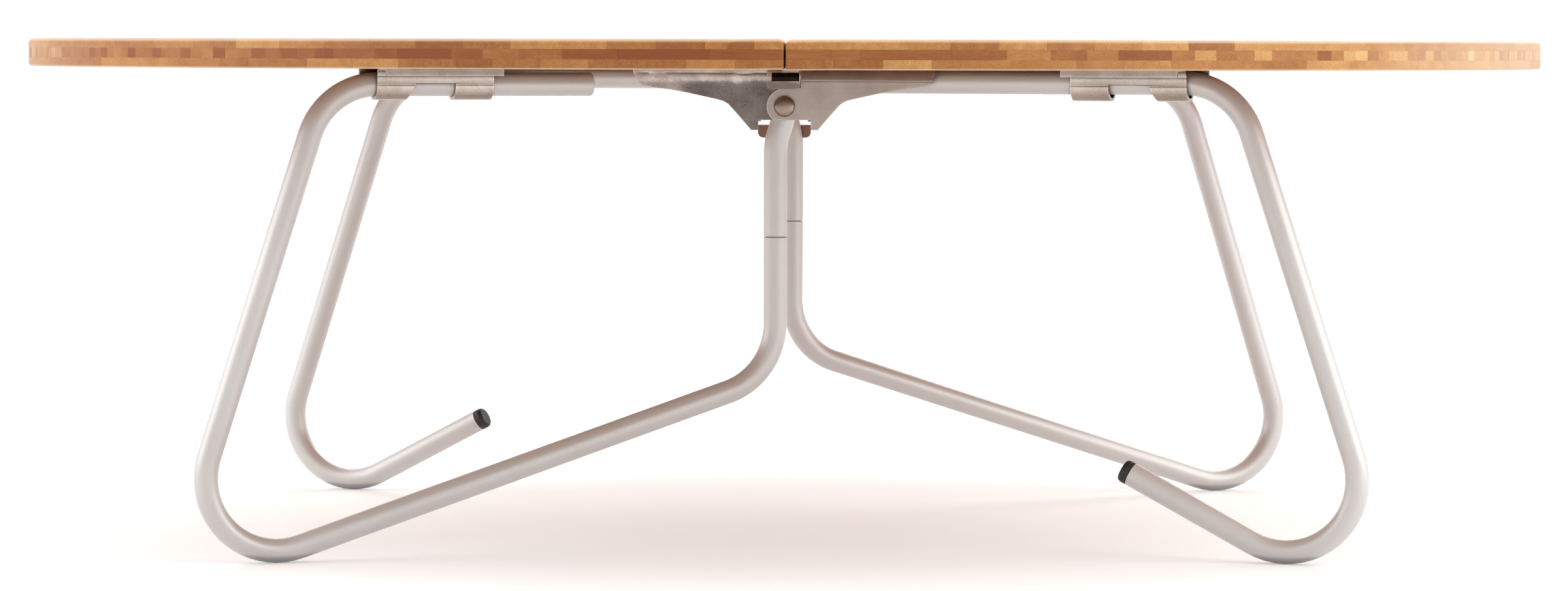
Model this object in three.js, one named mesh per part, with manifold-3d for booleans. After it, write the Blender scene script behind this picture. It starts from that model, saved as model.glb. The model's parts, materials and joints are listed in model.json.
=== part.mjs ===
// Low round folding table: two bamboo half-discs on a centre bar, four bent-tube legs.
// Millimetres, +Z up, floor at z = 0, the long view of the seam runs along Y.
// The object is unchanged by half a turn about Z, so the far pieces are the near ones turned.
import * as THREE from 'three';
import { mergeVertices } from 'three/addons/utils/BufferGeometryUtils.js';
import Module from 'manifold-3d';

const manifoldModule = await Module();
manifoldModule.setup();
const { Manifold, Mesh: ManifoldMesh } = manifoldModule;

// ---- driving dimensions -------------------------------------------------------------
const CLEARANCE = 0.3;

const TABLE_RADIUS = 425;
const TABLE_HEIGHT = 276;
const TOP_THICKNESS = 15;
const EDGE_ROUND = 2.5;
const SEAM_GAP = 0.8;

const TUBE_RADIUS = 6.35;
const TUBE_WALL = 1.2;
const BEND_RADIUS = 38.8;
const LEG_PLAN_ANGLE = 20;
const LOOP_TUBE_GAP = 2.55;
const HOOK_TUBE_GAP = 1.05;

// Leg outlines: distances outwards from the centre end of the leg's upright plane.
const LOOP_CUT_END = 105;
const LOOP_SHOULDER = 251.8;
const LOOP_FOOT = 338.5;
const LOOP_INNER_HEIGHT = 93.6;
const HOOK_CUT_END = 26.8;
const HOOK_SHOULDER = 248.1;
const HOOK_FOOT = 343.7;
const HOOK_TOE = 192;
const HOOK_RISE = 0.5146;
const HOOK_Y = 121;

const HINGE_Y = 155.85;
const PIVOT_DROP = 20.6;
const PLATE = 2.5;
const PIN_RADIUS = 3.2;
const PIN_HEAD_RADIUS = 5.8;
const PIN_HEAD = 3;
const PIN_PLUG = 14.7;
const PIN_HEAD_ROUND = 1.3;

const POST_X = 4.8;
const POST_Y = 126;
const JOINT_HEIGHT = 169;
const SPIGOT_UP = 14;
const SPIGOT_DOWN = 7;

const BRACKET_INNER_X = 8.9;
const BRACKET_OUTER_X = 80.8;
const BRACKET_FOLD = 7.2;
const BRACKET_DEPTH = 21.5;
const BRACKET_EYE = 9.65;
const BRACKET_NOTCH = 7.4;
const BRACKET_TOOTH = 12.8;
const LEFT_SCREWS_X = [21.3, 67.7];
const RIGHT_SCREWS_X = [21.3, 38];
const BRACKET_SCREW_INSET = 6.5;
const SCREW_RADIUS = 2;
const SCREW_LENGTH = 12.6;
const SINK_RADIUS = 3.9;
const SINK_DEPTH = 1.7;
const PAN_HEAD_RADIUS = 4;
const PAN_HEAD = 2.2;

const CLIP_SHEET = 1.6;
const CLIP_CLEARANCE = 0.4;
const CLIP_LENGTH = 64;
const CLIP_WINDOW = 22;
const CLIP_REACH = 26.6;
const CLIP_FOLD = 3.6;
const CLIP_LIP = 4.4;
const CLIP_SCREW_REACH = 17;
const CLIP_WINDOW_TOP = 0.5;
const CLIP_RELIEF_RADIUS = 5.2;
const CLIP_RELIEF_REACH = 14.4;
const LOOP_CLIP_CENTRE = 194;
const HOOK_CLIP_CENTRE = 191.6;

const BLOCK_WIDTH = 31.4;
const BLOCK_HEIGHT = 7.4;
const BLOCK_DEPTH = 14;
const BLOCK_DROP = 14.6;

const CAP_PLUG = 12;
const CAP_HEAD = 5;

// ---- what follows from them ---------------------------------------------------------
const UNDERSIDE = TABLE_HEIGHT - TOP_THICKNESS;
const PIVOT_Z = UNDERSIDE - PIVOT_DROP;
const TUBE_BORE = TUBE_RADIUS - TUBE_WALL;
const PLUG_RADIUS = TUBE_BORE - CLEARANCE;
const LOOP_TUBE_Z = UNDERSIDE - LOOP_TUBE_GAP - TUBE_RADIUS;
const HOOK_TUBE_Z = UNDERSIDE - HOOK_TUBE_GAP - TUBE_RADIUS;
const CLIP_TOP = LOOP_TUBE_GAP + TUBE_RADIUS;
const CLIP_UNDER = CLIP_TOP - CLIP_SHEET;
const CLIP_INNER = TUBE_RADIUS + CLIP_CLEARANCE;
const CLIP_OUTER = CLIP_INNER + CLIP_SHEET;
const PLATE_FRONT_Y = -HINGE_Y - CLEARANCE / 2 - PLATE;
const FLANGE_EDGE_Y = PLATE_FRONT_Y + BRACKET_DEPTH;
const BRACKET_SCREW_Y = FLANGE_EDGE_Y - BRACKET_SCREW_INSET;
const CENTRE_TUBE_END = HINGE_Y - CLEARANCE / 2 - PLATE - CLEARANCE;

// ---- mesh helpers -------------------------------------------------------------------
const TUBE_SIDES = 16;
const BEND_STEP = THREE.MathUtils.degToRad(12);

function bare(geometry) {
  const copy = geometry.clone();
  copy.deleteAttribute('normal');
  copy.deleteAttribute('uv');
  const merged = mergeVertices(copy, 1e-4);
  const old = merged.index.array;
  const kept = [];
  for (let i = 0; i < old.length; i += 3) {
    const [a, b, c] = [old[i], old[i + 1], old[i + 2]];
    if (a !== b && b !== c && c !== a) kept.push(a, b, c);
  }
  merged.setIndex(kept);
  return merged;
}

function toManifold(geometry) {
  const source = bare(geometry);
  return new Manifold(new ManifoldMesh({
    numProp: 3,
    vertProperties: new Float32Array(source.attributes.position.array),
    triVerts: new Uint32Array(source.index.array),
  }));
}

function toGeometry(solid) {
  const mesh = solid.getMesh();
  const geometry = new THREE.BufferGeometry();
  geometry.setAttribute('position', new THREE.Float32BufferAttribute(Array.from(mesh.vertProperties), 3));
  geometry.setIndex(Array.from(mesh.triVerts));
  return geometry;
}

function subtract(geometry, ...tools) {
  return toGeometry(tools.reduce((solid, tool) => solid.subtract(toManifold(tool)), toManifold(geometry)));
}

function unite(geometry, ...others) {
  return toGeometry(others.reduce((solid, other) => solid.add(toManifold(other)), toManifold(geometry)));
}

function intersect(a, b) {
  return toGeometry(toManifold(a).intersect(toManifold(b)));
}

function box(x0, x1, y0, y1, z0, z1) {
  const geometry = new THREE.BoxGeometry(x1 - x0, y1 - y0, z1 - z0);
  return geometry.translate((x0 + x1) / 2, (y0 + y1) / 2, (z0 + z1) / 2);
}

function shapeOf(points) {
  return new THREE.Shape(points.map(([u, v]) => new THREE.Vector2(u, v)));
}

// An outline in (x, z) swept along y from y0 to y1.
function prismAlongY(points, y0, y1) {
  const geometry = new THREE.ExtrudeGeometry(shapeOf(points), { depth: y1 - y0, bevelEnabled: false });
  return geometry.rotateX(Math.PI / 2).translate(0, y1, 0);
}

// An outline in (y, z) swept along x from x0 to x1.
function prismAlongX(points, x0, x1) {
  const geometry = new THREE.ExtrudeGeometry(shapeOf(points), { depth: x1 - x0, bevelEnabled: false });
  const axes = new THREE.Matrix4().makeBasis(
    new THREE.Vector3(0, 1, 0), new THREE.Vector3(0, 0, 1), new THREE.Vector3(1, 0, 0));
  return geometry.applyMatrix4(axes).translate(x0, 0, 0);
}

// A profile of [radius, height] pairs, first and last on the axis, turned about Z.
function turned(profile, segments) {
  const points = profile.map(([r, h]) => new THREE.Vector2(r, h));
  return outward(bare(new THREE.LatheGeometry(points, segments).rotateX(Math.PI / 2)));
}

function rod(radius, z0, z1, segments = 16) {
  return turned([[0, z0], [radius, z0], [radius, z1], [0, z1]], segments);
}

function arc(cu, cv, radius, startDeg, endDeg, steps) {
  return Array.from({ length: steps + 1 }, (_, i) => {
    const a = THREE.MathUtils.degToRad(startDeg + (endDeg - startDeg) * i / steps);
    return [cu + radius * Math.cos(a), cv + radius * Math.sin(a)];
  });
}

function halfTurn(geometry) {
  return geometry.clone().rotateZ(Math.PI);
}

// ---- bent tubes ---------------------------------------------------------------------
// The arc that rounds a corner of a path: its centre, and the half angle between its legs.
function bendAt(before, corner, after) {
  const back = before.clone().sub(corner).normalize();
  const ahead = after.clone().sub(corner).normalize();
  const half = back.angleTo(ahead) / 2;
  const centre = back.clone().add(ahead).normalize()
    .multiplyScalar(BEND_RADIUS / Math.sin(half)).add(corner);
  return { back, ahead, half, centre };
}

// Replaces each inner corner of a flat polyline by an arc of the bend radius.
function roundedPath(corners) {
  const path = [corners[0].clone()];
  for (let i = 1; i < corners.length - 1; i += 1) {
    const { back, ahead, half, centre } = bendAt(corners[i - 1], corners[i], corners[i + 1]);
    const start = back.clone().multiplyScalar(BEND_RADIUS / Math.tan(half)).add(corners[i]).sub(centre);
    const axis = back.clone().cross(ahead).normalize();
    const sweep = 2 * half - Math.PI;
    const steps = Math.ceil(-sweep / BEND_STEP);
    for (let k = 0; k <= steps; k += 1) {
      path.push(start.clone().applyAxisAngle(axis, sweep * k / steps).add(centre));
    }
  }
  path.push(corners[corners.length - 1].clone());
  return path;
}

function tangentAt(path, i) {
  const before = path[Math.max(i - 1, 0)];
  const after = path[Math.min(i + 1, path.length - 1)];
  return after.clone().sub(before).normalize();
}

// Tube along a path that lies in the plane with the given normal; a bore of 0 makes it solid.
function tubeAlong(path, planeNormal, radius, bore, sides = TUBE_SIDES) {
  const positions = [];
  const index = [];
  const rings = bore > 0 ? [radius, bore] : [radius];
  path.forEach((point, i) => {
    const across = tangentAt(path, i).cross(planeNormal).normalize();
    for (const r of rings) {
      for (let k = 0; k < sides; k += 1) {
        const a = 2 * Math.PI * k / sides;
        const p = point.clone().addScaledVector(across, r * Math.cos(a))
          .addScaledVector(planeNormal, r * Math.sin(a));
        positions.push(p.x, p.y, p.z);
      }
    }
  });
  const stride = rings.length * sides;
  const vertex = (station, ring, k) => station * stride + ring * sides + (k % sides);
  const quad = (a, b, c, d, flip) => index.push(...(flip ? [a, c, b, a, d, c] : [a, b, c, a, c, d]));
  for (let i = 0; i < path.length - 1; i += 1) {
    for (let ring = 0; ring < rings.length; ring += 1) {
      for (let k = 0; k < sides; k += 1) {
        quad(vertex(i, ring, k), vertex(i + 1, ring, k), vertex(i + 1, ring, k + 1),
          vertex(i, ring, k + 1), ring === 1);
      }
    }
  }
  const last = path.length - 1;
  for (let k = 0; k < sides; k += 1) {
    if (bore > 0) {
      quad(vertex(0, 0, k), vertex(0, 0, k + 1), vertex(0, 1, k + 1), vertex(0, 1, k), false);
      quad(vertex(last, 0, k), vertex(last, 0, k + 1), vertex(last, 1, k + 1), vertex(last, 1, k), true);
    } else if (k > 0 && k < sides - 1) {
      index.push(vertex(0, 0, 0), vertex(0, 0, k), vertex(0, 0, k + 1));
      index.push(vertex(last, 0, 0), vertex(last, 0, k + 1), vertex(last, 0, k));
    }
  }
  const geometry = new THREE.BufferGeometry();
  geometry.setAttribute('position', new THREE.Float32BufferAttribute(positions, 3));
  geometry.setIndex(index);
  return outward(geometry);
}

function outward(geometry) {
  const p = geometry.attributes.position;
  const index = geometry.index.array;
  const [a, b, c] = [new THREE.Vector3(), new THREE.Vector3(), new THREE.Vector3()];
  let volume = 0;
  for (let i = 0; i < index.length; i += 3) {
    a.fromBufferAttribute(p, index[i]);
    b.fromBufferAttribute(p, index[i + 1]);
    c.fromBufferAttribute(p, index[i + 2]);
    volume += a.dot(b.cross(c));
  }
  if (volume < 0) {
    for (let i = 0; i < index.length; i += 3) {
      [index[i], index[i + 1]] = [index[i + 1], index[i]];
    }
  }
  return geometry;
}

// A leg lies in an upright plane: s runs outwards from the centre, z is height.
function legPlane(originX, originY, side, clipCentre) {
  const angle = THREE.MathUtils.degToRad(LEG_PLAN_ANGLE);
  const along = new THREE.Vector3(side * Math.cos(angle), -Math.sin(angle), 0);
  const normal = along.clone().cross(new THREE.Vector3(0, 0, 1));
  const at = (s, z) => new THREE.Vector3(originX, originY, z).addScaledVector(along, s);
  return { along, normal, at, clipCentre };
}

const loopPlane = legPlane(-POST_X, -POST_Y, -1, LOOP_CLIP_CENTRE);
const hookPlane = legPlane(POST_X, -HOOK_Y, 1, HOOK_CLIP_CENTRE);

// Lowest point under a tube that follows the path.
function lowestUnderside(path) {
  return Math.min(...path.map((point, i) => {
    const tangent = tangentAt(path, i);
    return point.z - TUBE_RADIUS * Math.hypot(tangent.x, tangent.y);
  }));
}

// Height of the foot corner that stands the leg's lowest bend on the floor.
function footHeight(cornersFor) {
  let z = 0;
  for (let pass = 0; pass < 20; pass += 1) z -= lowestUnderside(roundedPath(cornersFor(z)));
  return z;
}

// Loop leg: cut end under the top, out, down, in along the floor diagonal and up at the centre.
function loopLeg() {
  const { at, normal } = loopPlane;
  const cornersFor = (footZ) => [
    at(LOOP_CUT_END, LOOP_TUBE_Z), at(LOOP_SHOULDER, LOOP_TUBE_Z), at(LOOP_FOOT, footZ),
    at(0, LOOP_INNER_HEIGHT), at(0, JOINT_HEIGHT - CLEARANCE / 2),
  ];
  return tubeAlong(roundedPath(cornersFor(footHeight(cornersFor))), normal, TUBE_RADIUS, TUBE_BORE);
}

// Hook leg: inner end behind the hinge plate, out, down and a short way back in to its foot cap.
function hookCorners(footZ) {
  const { at } = hookPlane;
  return [
    at(HOOK_CUT_END, HOOK_TUBE_Z), at(HOOK_SHOULDER, HOOK_TUBE_Z), at(HOOK_FOOT, footZ),
    at(HOOK_TOE, footZ + (HOOK_FOOT - HOOK_TOE) * HOOK_RISE),
  ];
}

const hookPath = roundedPath(hookCorners(footHeight(hookCorners)));

function hookLeg() {
  return tubeAlong(hookPath, hookPlane.normal, TUBE_RADIUS, TUBE_BORE);
}

// Black cap: a plug in the bore and a slightly tapered head over the tube end.
function footCap() {
  const cap = turned([
    [0, -CAP_PLUG], [PLUG_RADIUS - 0.6, -CAP_PLUG], [PLUG_RADIUS, 1 - CAP_PLUG], [PLUG_RADIUS, CLEARANCE],
    [TUBE_RADIUS, CLEARANCE], [TUBE_RADIUS, CAP_HEAD - 2], [TUBE_RADIUS - 0.45, CAP_HEAD - 0.6],
    [TUBE_RADIUS - 1.15, CAP_HEAD], [0, CAP_HEAD],
  ], 16);
  const [before, toe] = hookPath.slice(-2);
  const turn = new THREE.Quaternion().setFromUnitVectors(
    new THREE.Vector3(0, 0, 1), toe.clone().sub(before).normalize());
  return cap.applyQuaternion(turn).translate(toe.x, toe.y, toe.z);
}

// ---- leg clips ----------------------------------------------------------------------
// Section in (q, z): q points away from the table's middle, z is measured from the loop tube's axis.
// The sheet passes in front of the tube, under it and up behind it; above the tube it is open.
function clipSection() {
  const foldQ = CLIP_OUTER + CLIP_FOLD;
  const foldZ = CLIP_UNDER - CLIP_FOLD;
  const hook = 0.6 * CLIP_INNER;
  const lip = CLIP_TOP - CLIP_LIP;
  return [
    [CLIP_REACH, lip], [CLIP_REACH, CLIP_TOP],
    ...arc(foldQ, foldZ, CLIP_FOLD + CLIP_SHEET, 90, 180, 5),
    ...arc(0, 0, CLIP_INNER, 0, -180, 14), [-CLIP_INNER, hook], [-CLIP_OUTER, hook],
    ...arc(0, 0, CLIP_OUTER, -180, 0, 14), ...arc(foldQ, foldZ, CLIP_FOLD, 180, 90, 5),
    [CLIP_REACH - CLIP_SHEET, CLIP_UNDER], [CLIP_REACH - CLIP_SHEET, lip],
  ];
}

function clip(plane) {
  const half = CLIP_LENGTH / 2;
  const sheet = prismAlongX(clipSection(), -half, half);
  const wide = CLIP_OUTER + 4;
  const window = box(-CLIP_WINDOW / 2, CLIP_WINDOW / 2, -wide, wide, -wide, CLIP_WINDOW_TOP);
  const backWindow = box(-CLIP_WINDOW / 2, CLIP_WINDOW / 2, -wide, 0, -1, CLIP_INNER);
  const relief = rod(CLIP_RELIEF_RADIUS, -3, CLIP_UNDER, 14).translate(0, CLIP_RELIEF_REACH, 0);
  const hole = rod(SCREW_RADIUS + CLEARANCE, CLIP_UNDER - 1, CLIP_TOP + 1, 12)
    .translate(0, CLIP_SCREW_REACH, 0);
  return placeAtClip(subtract(sheet, window, backWindow, relief, hole), plane);
}

// Pan-head screw, head under the clip flange, shank in the wood.
function clipScrew(plane) {
  const seat = CLIP_UNDER - CLEARANCE;
  const tip = seat + SCREW_LENGTH - 1;
  const screw = turned([
    [0, seat - PAN_HEAD], [0.65 * PAN_HEAD_RADIUS, seat - 0.95 * PAN_HEAD],
    [0.93 * PAN_HEAD_RADIUS, seat - 0.64 * PAN_HEAD], [PAN_HEAD_RADIUS, seat - 0.32 * PAN_HEAD],
    [PAN_HEAD_RADIUS, seat], [SCREW_RADIUS, seat], [SCREW_RADIUS, tip], [0, tip],
  ], 12);
  return placeAtClip(screw.translate(0, CLIP_SCREW_REACH, 0), plane);
}

function clipAxes(plane) {
  const outwards = new THREE.Vector3(0, 0, 1).cross(plane.along);
  const q = outwards.y < 0 ? outwards : outwards.negate();
  return { q, s: q.clone().cross(new THREE.Vector3(0, 0, 1)) };
}

function placeAtClip(geometry, plane) {
  const { q, s } = clipAxes(plane);
  const origin = plane.at(plane.clipCentre, LOOP_TUBE_Z);
  const basis = new THREE.Matrix4().makeBasis(s, q, new THREE.Vector3(0, 0, 1));
  return geometry.applyMatrix4(basis).translate(origin.x, origin.y, origin.z);
}

// ---- hinge brackets -----------------------------------------------------------------
// Outline of the near right bracket seen from the front, measured from the pivot.
function bracketOutline() {
  const eyeEnd = 180 + THREE.MathUtils.radToDeg(Math.asin(BRACKET_NOTCH / BRACKET_EYE));
  const lobe = arc(0, 0, BRACKET_EYE, 90, eyeEnd, 10);
  return [
    [BRACKET_INNER_X, PIVOT_DROP + 0.4], [BRACKET_INNER_X, BRACKET_EYE], ...lobe,
    [14.1, -BRACKET_NOTCH], [14.1, -BRACKET_TOOTH], [17.9, -BRACKET_TOOTH], [21.5, -8.6], [26, -3.4],
    [30.2, 1.2], [33, 2.8],
    [36.2, 3.7], [52.4, 7.3], [60.5, 8.7], [BRACKET_OUTER_X - 7, 10.6], [BRACKET_OUTER_X - 4, 11.2],
    [BRACKET_OUTER_X - 1.8, 13.2], [BRACKET_OUTER_X - 0.5, 16.3], [BRACKET_OUTER_X, 17.5],
    [BRACKET_OUTER_X, PIVOT_DROP + 0.4],
  ];
}

function bracketSection() {
  const foldY = PLATE_FRONT_Y + BRACKET_FOLD;
  const foldZ = UNDERSIDE - BRACKET_FOLD;
  const foot = PIVOT_Z - 14;
  return [
    [PLATE_FRONT_Y, foot], [PLATE_FRONT_Y + PLATE, foot],
    ...arc(foldY, foldZ, BRACKET_FOLD - PLATE, 180, 90, 5),
    [FLANGE_EDGE_Y, UNDERSIDE - PLATE], [FLANGE_EDGE_Y, UNDERSIDE],
    ...arc(foldY, foldZ, BRACKET_FOLD, 90, 180, 5),
  ];
}

function bracket(screwsX) {
  const outline = bracketOutline().map(([x, z]) => [x, z + PIVOT_Z]);
  const sheet = prismAlongX(bracketSection(), -BRACKET_EYE - 2, BRACKET_OUTER_X);
  const trimmed = intersect(sheet, prismAlongY(outline, PLATE_FRONT_Y - 5, FLANGE_EDGE_Y + 5));
  const bore = rod(PIN_RADIUS + CLEARANCE, HINGE_Y - 10, HINGE_Y + 10, 16)
    .rotateX(Math.PI / 2).translate(0, 0, PIVOT_Z);
  const sinks = screwsX.map((x) => turned([
    [0, -1], [SINK_RADIUS, -1], [SINK_RADIUS, 0.05], [SCREW_RADIUS + CLEARANCE, SINK_DEPTH],
    [SCREW_RADIUS + CLEARANCE, PLATE + 1], [0, PLATE + 1],
  ], 12).translate(x, BRACKET_SCREW_Y, UNDERSIDE - PLATE));
  return subtract(trimmed, bore, ...sinks);
}

// The right bracket's flange is cut back beside the hook leg's tube, which lies close under the top.
function hookTubeRelief() {
  const reach = TUBE_RADIUS + CLEARANCE;
  const half = Math.sqrt(reach * reach - (UNDERSIDE - PLATE - HOOK_TUBE_Z) ** 2);
  const cut = box(0, 2 * BRACKET_OUTER_X, -half, BRACKET_DEPTH, UNDERSIDE - PLATE - 1, UNDERSIDE + 1)
    .rotateZ(-THREE.MathUtils.degToRad(LEG_PLAN_ANGLE)).translate(POST_X, -HOOK_Y, 0);
  const passage = [0, 2 * BRACKET_OUTER_X].map((s) => hookPlane.at(s, HOOK_TUBE_Z));
  return unite(cut, tubeAlong(passage, hookPlane.normal, reach, 0));
}

// Countersunk screws, flush with the flange, shanks in the wood.
function bracketScrews(screwsX) {
  return screwsX.map((x) => turned([
    [0, 0.05], [SINK_RADIUS - CLEARANCE, 0.05], [SCREW_RADIUS, SINK_DEPTH],
    [SCREW_RADIUS, SCREW_LENGTH - 0.6], [0, SCREW_LENGTH],
  ], 12).translate(x, BRACKET_SCREW_Y, UNDERSIDE - PLATE));
}

// The left bracket is the right one turned half round the pivot.
function mated(geometry) {
  return geometry.clone().translate(0, HINGE_Y, 0).rotateZ(Math.PI).translate(0, -HINGE_Y, 0);
}

// Tongue of the left flange, folded down in front of both plates above the pin.
function keeperTongue() {
  const fold = 5;
  const frontY = -2 * HINGE_Y - FLANGE_EDGE_Y;
  const foldY = frontY + fold;
  const foldZ = UNDERSIDE - fold;
  const backY = frontY + BRACKET_DEPTH - BRACKET_FOLD;
  const tip = BRACKET_EYE - CLEARANCE;
  const under = PIVOT_DROP - PLATE;
  const section = [
    [frontY, PIVOT_Z + tip], ...arc(foldY, foldZ, fold, 180, 90, 5), [backY, UNDERSIDE],
    [backY, UNDERSIDE - PLATE], ...arc(foldY, foldZ, fold - PLATE, 90, 180, 5),
    [frontY + PLATE, PIVOT_Z + tip],
  ];
  const outline = [
    [-BRACKET_INNER_X - 5, PIVOT_DROP + 0.4], [-BRACKET_INNER_X - 5, under], [-9.2, under],
    [-9.2, tip + 1.9], [-8.6, tip + 0.6], [-7.2, tip], [6.4, tip], [7.8, tip + 0.6], [8.4, tip + 1.9],
    [8.4, under - 0.8], [7.8, under], [-1, under], [-1, PIVOT_DROP + 0.4],
  ].map(([x, z]) => [x, z + PIVOT_Z]);
  return intersect(
    prismAlongX(section, -BRACKET_INNER_X - 5, 9),
    prismAlongY(outline, frontY - 5, backY + 5));
}

// ---- table top ----------------------------------------------------------------------
function halfTop(side) {
  const start = THREE.MathUtils.radToDeg(Math.acos(SEAM_GAP / 2 / TABLE_RADIUS));
  const board = new THREE.ExtrudeGeometry(shapeOf(arc(0, 0, TABLE_RADIUS, -start, start, 72)), {
    depth: TOP_THICKNESS - 2 * EDGE_ROUND,
    bevelEnabled: true,
    bevelThickness: EDGE_ROUND,
    bevelSize: EDGE_ROUND,
    bevelOffset: -EDGE_ROUND,
    bevelSegments: 2,
  }).translate(0, 0, UNDERSIDE + EDGE_ROUND);
  const pilot = (x, y) => rod(SCREW_RADIUS + CLEARANCE, UNDERSIDE - 1, UNDERSIDE + SCREW_LENGTH - 2, 12)
    .translate(x, y, 0);
  const holes = [
    ...RIGHT_SCREWS_X.map((x) => pilot(x, BRACKET_SCREW_Y)),
    ...LEFT_SCREWS_X.map((x) => pilot(x, BRACKET_SCREW_Y + 2 * HINGE_Y)),
  ];
  for (const [plane, far] of [[hookPlane, false], [loopPlane, true]]) {
    const spot = plane.at(plane.clipCentre, 0).addScaledVector(clipAxes(plane).q, CLIP_SCREW_REACH);
    if (far) spot.negate();
    holes.push(pilot(spot.x, spot.y));
  }
  const drilled = subtract(board, ...holes);
  return side > 0 ? drilled : halfTurn(drilled);
}

// ---- centre bar ---------------------------------------------------------------------
const barNormal = new THREE.Vector3(1, 0, 0);
const postNormal = new THREE.Vector3(0, 1, 0);

function centreTube() {
  const ends = [-CENTRE_TUBE_END, CENTRE_TUBE_END].map((y) => new THREE.Vector3(0, y, PIVOT_Z));
  return tubeAlong(ends, barNormal, TUBE_RADIUS, TUBE_BORE);
}

// The near post's centre line: down from the bar, a small crank sideways, down to the joint.
function postPath() {
  return roundedPath([
    [0, PIVOT_Z + 3], [0, PIVOT_Z - 5.2], [-POST_X, PIVOT_Z - 20.2],
    [-POST_X, JOINT_HEIGHT + CLEARANCE / 2],
  ].map(([x, z]) => new THREE.Vector3(x, -POST_Y, z)));
}

// Post welded under the centre tube and coped to its round.
function post() {
  const tube = tubeAlong(postPath(), postNormal, TUBE_RADIUS, TUBE_BORE);
  const cope = rod(TUBE_RADIUS + CLEARANCE, POST_Y - 20, POST_Y + 20, 24)
    .rotateX(Math.PI / 2).translate(0, 0, PIVOT_Z);
  const wide = 2 * TUBE_RADIUS;
  const trimZ = PIVOT_Z - 0.54 * TUBE_RADIUS;
  const trim = box(-wide, wide, -POST_Y - wide, -POST_Y + wide, trimZ, PIVOT_Z + wide);
  return subtract(tube, cope, trim);
}

// Stub in the post's lower end that the loop leg plugs onto.
function spigot() {
  const low = JOINT_HEIGHT - SPIGOT_DOWN;
  return turned([
    [0, low], [PLUG_RADIUS - 1.8, low + 0.4], [PLUG_RADIUS - 0.5, low + 1.6], [PLUG_RADIUS, low + 3],
    [PLUG_RADIUS, JOINT_HEIGHT + SPIGOT_UP], [0, JOINT_HEIGHT + SPIGOT_UP],
  ], 16).translate(-POST_X, -POST_Y, 0);
}

// Pivot pin: domed head, shank through both plates, plug in the end of the centre tube.
function pivotPin() {
  const headBack = -PLATE_FRONT_Y + CLEARANCE;
  const headFront = headBack + PIN_HEAD;
  const plugEnd = CENTRE_TUBE_END - 0.2;
  const pin = turned([
    [0, plugEnd - PIN_PLUG], [PLUG_RADIUS, plugEnd - PIN_PLUG], [PLUG_RADIUS, plugEnd],
    [PIN_RADIUS, plugEnd], [PIN_RADIUS, headBack], [PIN_HEAD_RADIUS, headBack],
    [PIN_HEAD_RADIUS, headFront - PIN_HEAD_ROUND],
    [PIN_HEAD_RADIUS - 0.5, headFront - 0.6], [PIN_HEAD_RADIUS - 1.6, headFront - 0.2], [0, headFront],
  ], 20);
  return pin.rotateX(Math.PI / 2).translate(0, 0, PIVOT_Z);
}

// Moulded block hugging the back of the far post.
function stopBlock() {
  const half = BLOCK_WIDTH / 2;
  const top = PIVOT_Z - BLOCK_DROP;
  const low = top - BLOCK_HEIGHT;
  const outline = [
    [-half, top], [-half, low + 2.6], [-half + 0.9, low + 0.8], [-half + 2.7, low],
    [half - 2.7, low], [half - 0.9, low + 0.8], [half, low + 2.6], [half, top],
  ];
  const groove = halfTurn(tubeAlong(postPath(), postNormal, TUBE_RADIUS + CLEARANCE, 0, 24));
  return subtract(prismAlongY(outline, POST_Y, POST_Y + BLOCK_DEPTH), groove);
}

// ---- assembly -----------------------------------------------------------------------
const MATERIALS = {
  bamboo: { color: 0xc98f55, roughness: 0.55, metalness: 0 },
  sand_paint: { color: 0xc8beb6, roughness: 0.45, metalness: 0.3 },
  bracket_steel: { color: 0xa59b93, roughness: 0.4, metalness: 0.8 },
  nickel: { color: 0xb8aca0, roughness: 0.2, metalness: 1 },
  screw_steel: { color: 0x8d8a86, roughness: 0.35, metalness: 0.9 },
  black_plastic: { color: 0x1a1a1b, roughness: 0.6, metalness: 0 },
  brown_plastic: { color: 0x6d3f1e, roughness: 0.6, metalness: 0 },
};

const assembly = new THREE.Group();
assembly.name = 'folding_tray_table';

function addNode(name, material, geometry) {
  const finished = bare(geometry);
  finished.computeVertexNormals();
  const mesh = new THREE.Mesh(finished, new THREE.MeshStandardMaterial(MATERIALS[material]));
  mesh.name = name;
  assembly.add(mesh);
}

const nearRightBracket = subtract(bracket(RIGHT_SCREWS_X), hookTubeRelief());
const nearLeftBracket = unite(mated(bracket(LEFT_SCREWS_X)), keeperTongue());
const nearRightScrews = bracketScrews(RIGHT_SCREWS_X);
const nearLeftScrews = bracketScrews(LEFT_SCREWS_X).map(mated);

addNode('left_top', 'bamboo', halfTop(-1));
addNode('right_top', 'bamboo', halfTop(1));

// Each near piece has a far twin, half a turn away on the other half of the top.
function addPair(nearName, farName, material, geometry) {
  addNode(nearName, material, geometry);
  addNode(farName, material, halfTurn(geometry));
}

addPair('near_left_bracket', 'far_right_bracket', 'bracket_steel', nearLeftBracket);
addPair('near_right_bracket', 'far_left_bracket', 'bracket_steel', nearRightBracket);
nearLeftScrews.forEach((screw, i) => addPair(
  `near_left_bracket_screw_${i + 1}`, `far_right_bracket_screw_${i + 1}`, 'screw_steel', screw));
nearRightScrews.forEach((screw, i) => addPair(
  `near_right_bracket_screw_${i + 1}`, `far_left_bracket_screw_${i + 1}`, 'screw_steel', screw));
addPair('near_left_clip', 'far_right_clip', 'bracket_steel', clip(loopPlane));
addPair('near_right_clip', 'far_left_clip', 'bracket_steel', clip(hookPlane));
addPair('near_left_clip_screw', 'far_right_clip_screw', 'screw_steel', clipScrew(loopPlane));
addPair('near_right_clip_screw', 'far_left_clip_screw', 'screw_steel', clipScrew(hookPlane));

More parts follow.
